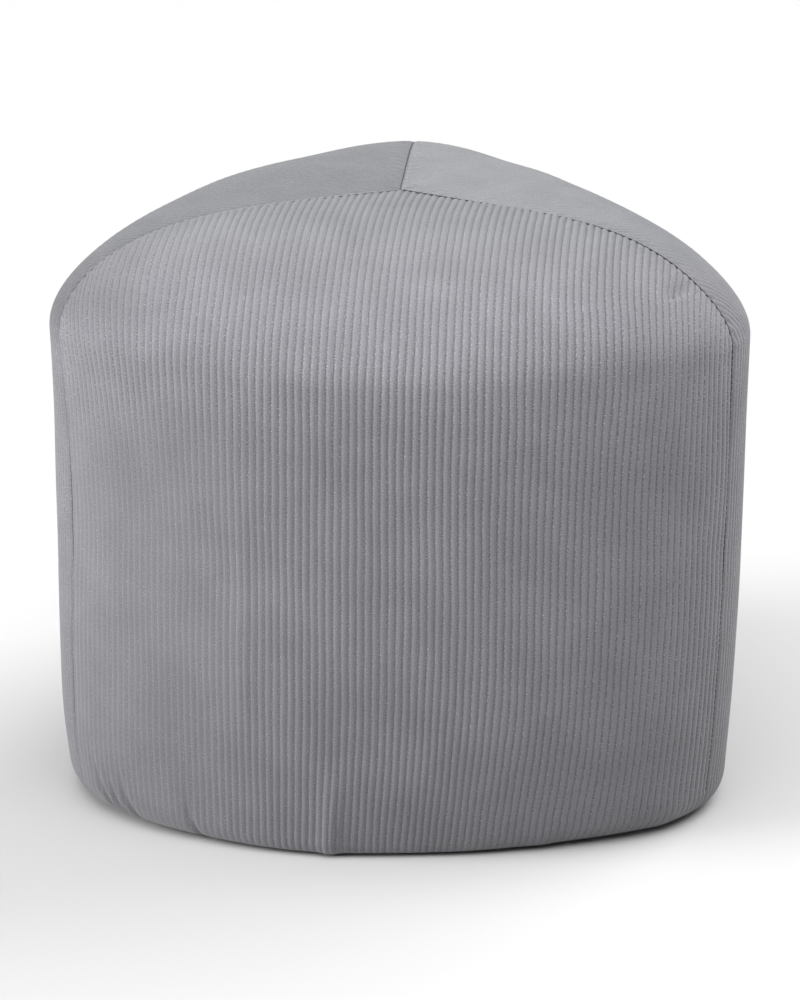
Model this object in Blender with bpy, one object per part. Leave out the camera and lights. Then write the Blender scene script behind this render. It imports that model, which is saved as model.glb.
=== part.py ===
"""A three-sided pouf in wide-wale cord: three filled panels and a flat base cloth.

Metres, +Z up. The origin is on the floor under the point where the three top seams meet.
One seam lies along +Y, and the middle of the front panel faces -Y.
"""
import math

import bmesh
import bpy

# How the pouf stands
PLAN_RADIUS = 0.230
TOP_HEIGHT = 0.420
SHOULDER_HEIGHT = 0.3406
SHOULDER_LIFT_AT_SEAM = 0.0185
DOME_POWER_AT_SEAM = 5.1
PANEL_CROWN = 0.0035
SHOULDER_ROUND_AT_SEAM = 0.0197
SHOULDER_SET_IN = 1.3
FOOT_ROUND = 0.0178
FOOT_ROUND_AT_SEAM = 0.0052
WALL_TAPER = 0.0097
WALL_TAPER_AT_SEAM = 0.0247

# The plan is a rounded triangle: waves round the axis, counted from the middle of a panel
PLAN_WAVES = (
    {"per_turn": 3, "share": -0.1295},
    {"per_turn": 6, "share": 0.0196},
    {"per_turn": 9, "share": -0.0061},
)

# The cord and its seams
PANELS = 3
RIBS_PER_PANEL = 97
RIB_RAISE = 0.0009
RIB_LEFT_AT_SEAM = 0.35
SEAM_DEPTH = 0.0015
SEAM_REACH = 0.006
PIECE_GAP = 0.0003

# The underside
FOOT_RING = 0.012
BASE_THICKNESS = 0.0025
BASE_CLEARANCE = 0.00025
COLUMNS_PER_BASE_SIDE = 8

# Where rows of points cross a panel
TOP_ROWS = (0.0, 0.03, 0.33, 0.48, 0.59, 0.70, 0.83, 1.0)
SHOULDER_PIVOT = 0.5
SHOULDER_ROWS = (0.75, 1.0)
WALL_ROWS = (1.0,)
FOOT_ROWS = (0.4, 0.75, 1.0)

HALF_PANEL = math.pi / PANELS
OUTLINE_STEPS = 1200

MATERIALS = {
    "cord": {"colour": (0.262, 0.258, 0.274, 1.0), "roughness": 0.92},
    "base_cloth": {"colour": (0.050, 0.050, 0.054, 1.0), "roughness": 0.95},
}

# The panels meet alike at the seams. The middle of the front one slopes more evenly from the top
# to a higher, tighter shoulder than the middles of the other two
PANEL_SHAPES = (
    {"name": "panel_front", "turn": 0.0, "middle_power": 3.2, "middle_rise": 0.023, "middle_round": 0.015},
    {"name": "panel_back_right", "turn": 2.0 * HALF_PANEL,
     "middle_power": 5.1, "middle_rise": 0.0, "middle_round": 0.0197},
    {"name": "panel_back_left", "turn": -2.0 * HALF_PANEL,
     "middle_power": 5.1, "middle_rise": 0.0, "middle_round": 0.0197},
)


def plan_radius(angle):
    """Distance from the axis to the top of the wall, at an angle from the panel's middle."""
    waves = sum(w["share"] * math.cos(w["per_turn"] * angle) for w in PLAN_WAVES)
    return PLAN_RADIUS * (1.0 + waves)


def foot_radius(angle):
    """Distance from the axis to the corner that the foot rounds off."""
    toward_seam = -math.cos(3.0 * angle)
    return plan_radius(angle) * (1.0 - WALL_TAPER - WALL_TAPER_AT_SEAM * toward_seam)


def foot_round(angle):
    """How far the foot's rounding reaches from its corner."""
    return FOOT_ROUND - FOOT_ROUND_AT_SEAM * math.cos(3.0 * angle)


class Profile:
    """The curve from the axis over the shoulder and down to the floor, at one angle of a panel."""

    def __init__(self, angle, panel):
        toward_seam = -math.cos(3.0 * angle)
        toward_middle = 0.5 * (1.0 - toward_seam)
        self.rim = plan_radius(angle)
        self.crown = PANEL_CROWN * toward_middle
        self.drop = TOP_HEIGHT - SHOULDER_HEIGHT - SHOULDER_LIFT_AT_SEAM * toward_seam
        self.drop -= panel["middle_rise"] * toward_middle
        self.power = blend(DOME_POWER_AT_SEAM, panel["middle_power"], toward_middle)
        shoulder_round = blend(SHOULDER_ROUND_AT_SEAM, panel["middle_round"], toward_middle)
        self.top_end = self.rim - SHOULDER_SET_IN * shoulder_round
        end_height = self.dome(self.top_end)
        slope = -self.drop * self.power / self.rim * (self.top_end / self.rim) ** (self.power - 1.0)
        self.foot_r = foot_radius(angle)
        corner = (self.rim, end_height + slope * (self.rim - self.top_end))
        length = math.hypot(self.foot_r - corner[0], corner[1])
        down = ((self.foot_r - corner[0]) / length, -corner[1] / length)
        self.shoulder = (
            (self.top_end, end_height),
            corner,
            (corner[0] + down[0] * shoulder_round, corner[1] + down[1] * shoulder_round),
        )
        reach = foot_round(angle)
        self.foot = (
            (self.foot_r - down[0] * reach, -down[1] * reach),
            (self.foot_r, 0.0),
            (self.foot_r - reach, 0.0),
        )

    def dome(self, r):
        """Height of the top at a distance r from the axis."""
        return TOP_HEIGHT - self.drop * (r / self.rim) ** self.power

    def point(self, level):
        """Point at a level: 0-1 top, 1-2 shoulder, 2-3 wall, 3-4 foot."""
        if level <= 2.0:
            if level <= 1.0:
                r = max(level, 0.0) * self.top_end
                z = self.dome(r)
            else:
                r, z = bend(self.shoulder, level - 1.0)
            share = min(r / self.rim, 1.0)
            return r, z + 4.0 * self.crown * share * (1.0 - share)
        if level <= 3.0:
            share = level - 2.0
            start, end = self.shoulder[2], self.foot[0]
            return (start[0] + (end[0] - start[0]) * share,
                    start[1] + (end[1] - start[1]) * share)
        return bend(self.foot, level - 3.0)

    def outward(self, level):
        """Unit vector out of the curve, as a share along r and a share along z."""
        step = 0.01
        r0, z0 = self.point(max(level - step, 0.0))
        r1, z1 = self.point(min(level + step, 4.0))
        length = math.hypot(r1 - r0, z1 - z0)
        return (z0 - z1) / length, (r1 - r0) / length


def blend(start, end, share):
    """Value that is start at share 0 and end at share 1."""
    return start + (end - start) * share


def bend(points, share):
    """Point on the curve that leaves the first point and arrives at the third."""
    a, b, c = (1.0 - share) ** 2, 2.0 * share * (1.0 - share), share * share
    start, corner, end = points
    return (a * start[0] + b * corner[0] + c * end[0],
            a * start[1] + b * corner[1] + c * end[1])


def even_angles(count):
    """Angles that cut the outline of one panel into equal lengths."""
    angles = [-HALF_PANEL + 2.0 * HALF_PANEL * i / OUTLINE_STEPS for i in range(OUTLINE_STEPS + 1)]
    spots = [(plan_radius(a) * math.sin(a), plan_radius(a) * math.cos(a)) for a in angles]
    run = [0.0]
    for here, there in zip(spots, spots[1:]):
        run.append(run[-1] + math.dist(here, there))
    result = []
    at = 0
    for i in range(count + 1):
        goal = run[-1] * i / count
        while at < OUTLINE_STEPS - 1 and run[at + 1] < goal:
            at += 1
        share = (goal - run[at]) / (run[at + 1] - run[at])
        result.append(angles[at] + (angles[at + 1] - angles[at]) * share)
    return result


def level_of_radius(profile, r, highest):
    """Level on the top or shoulder at which the curve is r from the axis."""
    low, high = 0.0, highest
    for _ in range(40):
        middle = 0.5 * (low + high)
        if profile.point(middle)[0] < r:
            low = middle
        else:
            high = middle
    return 0.5 * (low + high)


def angle_at_offset(offset, level, panel):
    """Angle at which the curve's point at this level is offset sideways by so much."""
    low, high = 0.0, HALF_PANEL
    for _ in range(30):
        middle = 0.5 * (low + high)
        if Profile(middle, panel).point(level)[0] * math.sin(middle) < abs(offset):
            low = middle
        else:
            high = middle
    return math.copysign(0.5 * (low + high), offset)


def column_spots(wall_angle, panel):
    """Levels and angles of the points of one column, from the top seam down to the floor."""
    pivot = 1.0 + SHOULDER_PIVOT
    at_seam = Profile(HALF_PANEL, panel)
    offset = Profile(wall_angle, panel).point(pivot)[0] * math.sin(wall_angle)
    start = level_of_radius(at_seam, abs(offset) / math.sin(HALF_PANEL), pivot)
    spots = []
    for row, share in enumerate(TOP_ROWS):
        level = start + (pivot - start) * share
        angle = angle_at_offset(offset, level, panel)
        if row == 0:
            angle = math.copysign(HALF_PANEL, offset)
        spots.append((level, angle))
    spots[len(TOP_ROWS) - 1] = (pivot, wall_angle)
    for base, shares in ((1.0, SHOULDER_ROWS), (2.0, WALL_ROWS), (3.0, FOOT_ROWS)):
        spots.extend((base + share, wall_angle) for share in shares)
    return spots


def surface_point(level, angle, crest, panel):
    """Point of the cord's face: drawn in toward a seam, raised on a crest."""
    profile = Profile(angle, panel)
    r, z = profile.point(level)
    from_seam = r * math.sin(HALF_PANEL - abs(angle))
    near = max(0.0, 1.0 - from_seam / SEAM_REACH)
    rise = -SEAM_DEPTH * near * near
    if crest:
        rise += RIB_RAISE * (1.0 - (1.0 - RIB_LEFT_AT_SEAM) * near)
    settle = min(1.0, 4.0 - level)
    along_r, along_z = profile.outward(level)
    r += along_r * rise * settle
    z += along_z * rise * settle
    return r * math.sin(angle), -r * math.cos(angle), max(z, 0.0)


def ring_spot(angle, inset, z):
    """Point inside the foot, on the underside, set in by inset."""
    r = foot_radius(angle) - foot_round(angle) - inset
    return r * math.sin(angle), -r * math.cos(angle), z


def panel_mesh(panel):
    """One filled panel: the ribbed face, two flat sides at the seams and the underside."""
    count = 2 * RIBS_PER_PANEL
    angles = even_angles(count)
    mesh = bmesh.new()
    grid = []
    for i, wall_angle in enumerate(angles):
        spots = column_spots(wall_angle, panel)
        crest = i % 2 == 1
        column = [mesh.verts.new(surface_point(level, angle, crest, panel)) for level, angle in spots]
        if i in (0, count):
            for row in range(1, len(TOP_ROWS)):
                if row < len(TOP_ROWS) - 1:
                    mesh.verts.remove(column[row])
                column[row] = column[0]
        grid.append(column)
    merge_first_rows(mesh, grid)
    for left, right in zip(grid, grid[1:]):
        for row in range(len(left) - 1):
            add_face(mesh, (left[row], left[row + 1], right[row + 1], right[row]))
    close_underside(mesh, grid, angles)
    bmesh.ops.triangulate(mesh, faces=mesh.faces)
    return mesh


def merge_first_rows(mesh, grid):
    """Drop the spare points left where the top rows run together at a shoulder corner."""
    used = {vert for column in grid for vert in column}
    spare = [vert for vert in mesh.verts if vert not in used]
    for vert in spare:
        mesh.verts.remove(vert)


def add_face(mesh, corners):
    """Add a face, leaving out any corner that repeats its neighbour."""
    kept = []
    for vert in corners:
        if vert not in kept:
            kept.append(vert)
    if len(kept) > 2:
        mesh.faces.new(kept)


def close_underside(mesh, grid, angles):
    """Add the foot ring, the step over the base cloth, the roof over it and the two sides."""
    roof = BASE_THICKNESS + PIECE_GAP
    marks = list(range(0, len(angles) - 1, COLUMNS_PER_BASE_SIDE)) + [len(angles) - 1]
    low = [mesh.verts.new(ring_spot(angles[i], FOOT_RING, 0.0)) for i in marks]
    high = [mesh.verts.new(ring_spot(angles[i], FOOT_RING, roof)) for i in marks]
    axis = mesh.verts.new((0.0, 0.0, roof))
    for k in range(len(marks) - 1):
        edge = [grid[i][-1] for i in range(marks[k], marks[k + 1] + 1)]
        add_face(mesh, [low[k], low[k + 1]] + edge[::-1])
        add_face(mesh, (low[k], high[k], high[k + 1], low[k + 1]))
    add_face(mesh, [axis] + high[::-1])
    middle = len(grid) // 2
    for end, top_run in ((0, grid[:middle + 1]), (-1, grid[:middle - 1:-1])):
        seam = [column[0] for column in top_run][::-1]
        wall = [vert for vert in grid[end] if vert not in seam]
        loop = [axis] + seam + wall + [low[end], high[end]]
        add_face(mesh, loop if end == 0 else loop[::-1])


def base_mesh():
    """The cloth under the pouf: a flat sheet inside the ring of the feet."""
    mesh = bmesh.new()
    angles = even_angles(2 * RIBS_PER_PANEL)
    marks = list(range(0, len(angles) - 1, COLUMNS_PER_BASE_SIDE))
    inset = FOOT_RING + BASE_CLEARANCE
    outline = []
    for panel in range(PANELS):
        turn = 2.0 * HALF_PANEL * panel
        for i in marks:
            x, y, _ = ring_spot(angles[i], inset, 0.0)
            outline.append((x * math.cos(turn) - y * math.sin(turn),
                            x * math.sin(turn) + y * math.cos(turn)))
    bottom = [mesh.verts.new((x, y, 0.0)) for x, y in outline]
    top = [mesh.verts.new((x, y, BASE_THICKNESS)) for x, y in outline]
    mesh.faces.new(bottom[::-1])
    mesh.faces.new(top)
    for k in range(len(outline)):
        after = (k + 1) % len(outline)
        mesh.faces.new((bottom[k], bottom[after], top[after], top[k]))
    bmesh.ops.triangulate(mesh, faces=mesh.faces)
    return mesh


def make_material(name):
    """Plain cloth of a named colour."""
    material = bpy.data.materials.new(name)
    material.use_nodes = True
    shader = material.node_tree.nodes["Principled BSDF"]
    shader.inputs["Base Color"].default_value = MATERIALS[name]["colour"]
    shader.inputs["Roughness"].default_value = MATERIALS[name]["roughness"]
    shader.inputs["Metallic"].default_value = 0.0
    return material


def place(name, mesh, material):
    """Turn a finished mesh into a named object with its material."""
    bmesh.ops.recalc_face_normals(mesh, faces=mesh.faces)
    if mesh.calc_volume(signed=True) < 0.0:
        bmesh.ops.reverse_faces(mesh, faces=mesh.faces)
    data = bpy.data.meshes.new(name)
    mesh.to_mesh(data)
    mesh.free()
    data.materials.append(material)
    item = bpy.data.objects.new(name, data)
    bpy.context.scene.collection.objects.link(item)
    return item


def turn_panel(mesh, turn):
    """Move a panel out by its share of the gap, then turn it about the axis."""
    out = 0.5 * PIECE_GAP / math.sin(HALF_PANEL)
    for vert in mesh.verts:
        x, y, z = vert.co
        y -= out
        vert.co = (x * math.cos(turn) - y * math.sin(turn), x * math.sin(turn) + y * math.cos(turn), z)


def build():
    """Make the three panels and the base cloth."""
    for item in list(bpy.data.objects):
        bpy.data.objects.remove(item, do_unlink=True)
    cord = make_material("cord")
    for panel in PANEL_SHAPES:
        mesh = panel_mesh(panel)
        turn_panel(mesh, panel["turn"])
        place(panel["name"], mesh, cord)
    place("base_panel", base_mesh(), make_material("base_cloth"))


build()
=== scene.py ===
"""Visual model of a three-sided cord pouf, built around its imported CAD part.

Three cord panels with raised ribs meet at seams that run over the top and down the corners. Small
stitches lie in the seams, and a plain cloth closes the underside. Metres, +Z up.
"""
import logging
import math
from collections.abc import Callable
from dataclasses import dataclass, field
from enum import Enum

import bmesh
import bpy
import numpy as np
from bpy.types import ID, Material, Mesh, Node, NodeTree, Object
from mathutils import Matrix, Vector


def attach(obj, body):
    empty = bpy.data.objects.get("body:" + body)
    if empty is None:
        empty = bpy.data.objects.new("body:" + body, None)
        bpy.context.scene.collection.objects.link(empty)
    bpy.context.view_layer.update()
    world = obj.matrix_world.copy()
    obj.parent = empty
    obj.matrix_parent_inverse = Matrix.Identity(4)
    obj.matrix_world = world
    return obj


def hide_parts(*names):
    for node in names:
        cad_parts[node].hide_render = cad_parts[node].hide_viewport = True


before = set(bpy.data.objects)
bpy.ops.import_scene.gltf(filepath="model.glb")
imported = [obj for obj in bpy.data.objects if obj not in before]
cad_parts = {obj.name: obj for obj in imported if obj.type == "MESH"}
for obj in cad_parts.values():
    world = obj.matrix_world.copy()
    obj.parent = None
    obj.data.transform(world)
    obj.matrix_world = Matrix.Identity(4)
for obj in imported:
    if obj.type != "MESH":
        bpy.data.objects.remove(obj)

LOG = logging.getLogger("pouf")
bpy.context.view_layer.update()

Array = np.ndarray
Triple = tuple[float, float, float]
Span = tuple[float, float]
Ease = tuple[Span, Span]
Source = tuple[Node, int | str]
Inputs = dict[int | str, object]

SIDES = 3
HALF_PANEL = math.pi / SIDES
TOP_END, SHOULDER_END, WALL_END, FOOT_END = 1.0, 2.0, 3.0, 4.0
OUTLINE_POINTS = 4001
HALVINGS = 40
TINY = 1e-9
RIBS = 97
FOOT_RING = 0.012
BASE_THICKNESS = 0.0025
UV_NAME = "cord"
RIB_PLACE, RIB_LEFT, RIB_OUTWARD = "rib_place", "rib_left", "rib_outward"
RISE, FALL = (0.0, 1.0), (1.0, 0.0)
NOISE_MIDDLE = (0.3, 0.7)
FINE_DETAIL, BROAD_DETAIL = 2.0, 3.0
WHITE = (1.0, 1.0, 1.0)
# Sockets of a colour Mix node, whose names are the same for each kind of value.
MIX_SHARE, MIX_FIRST, MIX_SECOND, MIX_RESULT = 0, 6, 7, 2


class Panel(Enum):
    """The three cord panels, each with how far it is turned from the front one."""

    FRONT = ("panel_front", 0.0)
    BACK_RIGHT = ("panel_back_right", 2.0 * HALF_PANEL)
    BACK_LEFT = ("panel_back_left", -2.0 * HALF_PANEL)

    @property
    def node(self) -> str:
        """Name of the CAD node this panel stands for."""
        return self.value[0]

    @property
    def turn(self) -> float:
        """Angle about the axis from the front panel, in radians."""
        return self.value[1]


@dataclass(frozen=True)
class PoufShape:
    """The filled shape that the cloth follows.

    A level says where a point is on the curve from the axis to the floor: 0 to 1 is the top, 1 to 2
    the shoulder, 2 to 3 the wall and 3 to 4 the foot. An angle is counted from a panel's middle.
    """

    plan_radius: float = 0.230
    top_height: float = 0.420
    shoulder_height: float = 0.3406
    shoulder_lift: float = 0.0185
    dome_power: float = 5.1
    dome_power_middle: float = 5.1
    shoulder_rise_middle: float = 0.0
    crown: float = 0.0035
    shoulder_round: float = 0.0197
    shoulder_round_middle: float = 0.0197
    shoulder_set_in: float = 1.3
    foot_round: float = 0.0178
    foot_round_at_seam: float = 0.0052
    taper: float = 0.0097
    taper_at_seam: float = 0.0247
    belly: float = 0.0012
    waves: tuple[tuple[int, float], ...] = ((3, -0.1295), (6, 0.0196), (9, -0.0061))

    def rim(self, angle: Array) -> Array:
        """Distance from the axis to the top of the wall at each angle."""
        share = sum(size * np.cos(count * angle) for count, size in self.waves)
        return self.plan_radius * (1.0 + share)

    def foot_radius(self, angle: Array) -> Array:
        """Distance from the axis to the corner that the foot rounds off."""
        toward_seam = -np.cos(SIDES * angle)
        return self.rim(angle) * (1.0 - self.taper - self.taper_at_seam * toward_seam)

    def foot_end(self, angle: Array) -> Array:
        """Distance from the axis at which the foot lies flat on the floor."""
        return self.foot_radius(angle) - self.foot_round + self.foot_round_at_seam * np.cos(SIDES * angle)

    def point(self, level: Array, angle: Array) -> tuple[Array, Array]:
        """Find the filled shape's outline.

        Args:
            level: Place on the curve from the axis to the floor, 0 to 4.
            angle: Angle from the panel's middle.

        Returns:
            Distances from the axis, and heights.
        """
        level, angle = np.broadcast_arrays(np.asarray(level, float), np.asarray(angle, float))
        toward_seam = -np.cos(SIDES * angle)
        toward_middle = 0.5 * (1.0 - toward_seam)
        rim = self.rim(angle)
        drop = self.top_height - self.shoulder_height - self.shoulder_lift * toward_seam
        drop = drop - self.shoulder_rise_middle * toward_middle
        power = self.dome_power + (self.dome_power_middle - self.dome_power) * toward_middle
        rounder = self.shoulder_round_middle - self.shoulder_round
        shoulder_round = self.shoulder_round + rounder * toward_middle
        top_end = rim - self.shoulder_set_in * shoulder_round
        end_share = top_end / rim
        end_z = self.top_height - drop * end_share ** power
        slope = -drop * power / rim * end_share ** (power - 1.0)
        corner_z = end_z + slope * (rim - top_end)
        foot_r = self.foot_radius(angle)
        length = np.hypot(foot_r - rim, corner_z)
        down_r, down_z = (foot_r - rim) / length, -corner_z / length
        wall_r, wall_z = rim + down_r * shoulder_round, corner_z + down_z * shoulder_round
        foot_round = self.foot_round + self.foot_round_at_seam * toward_seam
        low_r, low_z = foot_r - down_r * foot_round, -down_z * foot_round

        top_r = np.clip(level, 0.0, TOP_END) * top_end
        top_z = self.top_height - drop * (top_r / rim) ** power
        part = np.clip(level - TOP_END, 0.0, 1.0)
        round_r = bend(top_end, rim, wall_r, part)
        round_z = bend(end_z, corner_z, wall_z, part)
        part = np.clip(level - SHOULDER_END, 0.0, 1.0)
        side_r = wall_r + (low_r - wall_r) * part + self.belly * np.sin(math.pi * part)
        side_z = wall_z + (low_z - wall_z) * part
        part = np.clip(level - WALL_END, 0.0, 1.0)
        foot_rr = bend(low_r, foot_r, foot_r - foot_round, part)
        foot_z = bend(low_z, 0.0, 0.0, part)
        which = [level <= TOP_END, level <= SHOULDER_END, level <= WALL_END]
        r = np.select(which, [top_r, round_r, side_r], foot_rr)
        z = np.select(which, [top_z, round_z, side_z], foot_z)
        share = np.minimum(r / rim, 1.0)
        crown = 4.0 * self.crown * toward_middle * share * (1.0 - share)
        return r, z + np.where(level <= SHOULDER_END, crown, 0.0)

    def outward(self, level: Array, angle: Array) -> tuple[Array, Array]:
        """Unit vector out of the curve, as shares along the radius and the height."""
        step = 0.01
        r0, z0 = self.point(np.maximum(level - step, 0.0), angle)
        r1, z1 = self.point(np.minimum(level + step, FOOT_END), angle)
        length = np.maximum(np.hypot(r1 - r0, z1 - z0), TINY)
        return (z0 - z1) / length, (r1 - r0) / length

    def outline(self) -> tuple[Array, Array]:
        """Angles round one panel's outline, and the length of outline up to each."""
        angles = np.linspace(-HALF_PANEL, HALF_PANEL, OUTLINE_POINTS)
        rim = self.rim(angles)
        steps = np.hypot(np.diff(rim * np.sin(angles)), np.diff(rim * np.cos(angles)))
        return angles, np.concatenate([[0.0], np.cumsum(steps)])

    def even_angles(self, shares: Array) -> Array:
        """Angles at the given shares of the way round one panel's outline."""
        angles, run = self.outline()
        return np.interp(shares * run[-1], run, angles)

    def panel_width(self) -> float:
        """Length of one panel's outline, seam to seam."""
        return float(self.outline()[1][-1])


def bend(start: Array, corner: Array, end: Array, share: Array) -> Array:
    """Value on the curve that leaves start toward corner and arrives at end."""
    return (1.0 - share) ** 2 * start + 2.0 * share * (1.0 - share) * corner + share ** 2 * end


def smooth(value: Array, low: float, high: float) -> Array:
    """Rise smoothly from 0 at low to 1 at high."""
    share = np.clip((value - low) / (high - low), 0.0, 1.0)
    return share * share * (3.0 - 2.0 * share)


def crossing(low: Array, high: Array, below: Callable[[Array], Array]) -> Array:
    """Find by halving where a test that holds at low stops to hold on the way to high."""
    for _ in range(HALVINGS):
        middle = 0.5 * (low + high)
        holds = below(middle)
        low, high = np.where(holds, middle, low), np.where(holds, high, middle)
    return 0.5 * (low + high)


def placed(r: Array, angle: Array, z: Array) -> Array:
    """Points at distances from the axis, angles from the front and heights."""
    return np.stack([r * np.sin(angle), -r * np.cos(angle), z], axis=-1)


def turned(points: Array, turn: float) -> Array:
    """Turn points about the axis."""
    c, s = math.cos(turn), math.sin(turn)
    x, y, z = points[..., 0], points[..., 1], points[..., 2]
    return np.stack([x * c - y * s, x * s + y * c, z], axis=-1)


@dataclass(frozen=True)
class Fold:
    """One local fold, dent or pleat in a panel's cloth.

    across is the distance from the panel's middle along its outline, and low and high are the
    heights it runs between. rise is how far it stands out, and is below 0 for a dent.
    """

    across: float
    low: float
    high: float
    width: float
    rise: float
    lean: float = 0.0
    fade: float = 0.02

    def offset(self, across: Array, height: Array) -> Array:
        """Distance the fold moves each point outward."""
        middle = self.across + self.lean * (height - self.low)
        window = smooth(height, self.low - self.fade, self.low)
        window = window * (1.0 - smooth(height, self.high - 2.0 * self.fade, self.high + self.fade))
        return self.rise * np.exp(-(((across - middle) / self.width) ** 2)) * window


@dataclass(frozen=True)
class Drift:
    """One place where the ribs have been drawn sideways.

    across is the place's distance from the panel's middle, and climb its length of cloth above the
    floor. move is how far the ribs go there, to the right as the panel is seen if above 0.
    """

    across: float
    climb: float
    reach: float
    climb_reach: float
    move: float

    def offset(self, across: Array, climb: Array) -> Array:
        """Distance each point moves sideways."""
        beside = ((across - self.across) / self.reach) ** 2
        above = ((climb - self.climb) / self.climb_reach) ** 2
        return self.move * np.exp(-beside - above)


@dataclass(frozen=True)
class Place:
    """A soft-edged place on the pouf where the cloth has moved."""

    centre: Triple
    plan_reach: float
    height_reach: float

    def share(self, points: Array) -> Array:
        """How much each point takes part, 0 to 1."""
        away = points - np.array(self.centre)
        plan = (away[..., 0] ** 2 + away[..., 1] ** 2) / self.plan_reach ** 2
        return np.exp(-plan - (away[..., 2] / self.height_reach) ** 2)


@dataclass(frozen=True)
class Settling(Place):
    """A place where the filling has settled and taken the cloth with it."""

    move: Triple

    def offset(self, points: Array) -> Array:
        """Distance each point moves."""
        return self.share(points)[..., None] * np.array(self.move)


@dataclass(frozen=True)
class Slide(Place):
    """A place where the cloth and its seam have crept round the filling by an angle."""

    turn: float

    def offset(self, points: Array) -> Array:
        """Distance each point moves, along the plan's outline."""
        x, y, z = points[..., 0], points[..., 1], points[..., 2]
        angle = np.arctan2(x, -y)
        later = angle + self.turn * self.share(points)
        shape = PoufShape()
        return placed(np.hypot(x, y) * shape.rim(later) / shape.rim(angle), later, z) - points


def settled(points: Array, places: tuple[Settling | Slide, ...]) -> Array:
    """Move points with every place that has settled."""
    return points + sum(place.offset(points) for place in places)


# Across, low, high, width and rise. The rows of the loop are the pleats at the lower left.
FRONT_FOLDS = (
    Fold(-0.034, 0.0, 0.05, 0.007, 0.0036, lean=0.03, fade=0.03),
    Fold(-0.096, 0.11, 0.24, 0.006, 0.0008),
    Fold(0.124, 0.0, 0.012, 0.012, 0.0035),
    Fold(0.212, 0.0, 0.012, 0.011, 0.004),
    Fold(0.194, 0.385, 0.389, 0.009, -0.0048, fade=0.003),
) + tuple(
    Fold(across, 0.0, high, width, rise=-0.003, lean=lean, fade=0.012)
    for across, high, width, lean in (
        (-0.135, 0.026, 0.0032, -0.25),
        (-0.190, 0.032, 0.003, -0.30),
        (-0.203, 0.032, 0.003, -0.30),
        (-0.214, 0.038, 0.003, -0.35),
    )
)

SHOULDER_DRIFTS = tuple(
    Drift(across, climb=0.345, reach=reach, climb_reach=0.065, move=move)
    for across, reach, move in ((0.15, 0.07, 0.0045), (-0.16, 0.07, -0.0025), (0.0, 0.08, 0.0015))
)
FOOT_DRIFT = Drift(across=0.09, climb=-0.03, reach=0.11, climb_reach=0.10, move=-0.013)

SUNK_TOP = tuple(
    Settling(centre, reach, height_reach=0.06, move=(0.0, 0.0, lift))
    for centre, reach, lift in (
        ((-0.130, 0.060, 0.41), 0.09, 0.001),
        ((0.115, 0.060, 0.41), 0.10, -0.0032),
        ((-0.140, 0.065, 0.40), 0.055, 0.0026),
        ((-0.090, 0.120, 0.40), 0.05, -0.0014),
        ((0.002, 0.195, 0.40), 0.04, 0.0009),
        ((0.068, 0.150, 0.40), 0.042, -0.0021),
        ((0.114, 0.090, 0.40), 0.032, 0.001),
        ((0.116, 0.045, 0.40), 0.035, 0.0014),
    )
)
# Centre, reach in plan, reach in height, and the move or the turn.
SETTLED = (Settling((-0.215, -0.120, 0.30), 0.12, 0.17, (0.008, 0.002, 0.0)),) + SUNK_TOP + (
    Settling((0.0, 0.0, 0.15), 1.0, 0.15, (0.0012, 0.0, 0.0)),
    Settling((0.170, -0.150, 0.0), 0.09, 0.05, (-0.003, 0.009, 0.0)),
    Settling((-0.200, -0.130, 0.0), 0.08, 0.045, (0.005, 0.008, 0.001)),
    Settling((0.060, -0.200, 0.0), 0.09, 0.04, (0.0, 0.006, 0.0)),
    Slide((-0.210, -0.120, 0.39), 0.060, 0.035, turn=-0.054),
    Slide((-0.210, -0.120, 0.22), 0.060, 0.11, turn=0.030),
)


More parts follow.
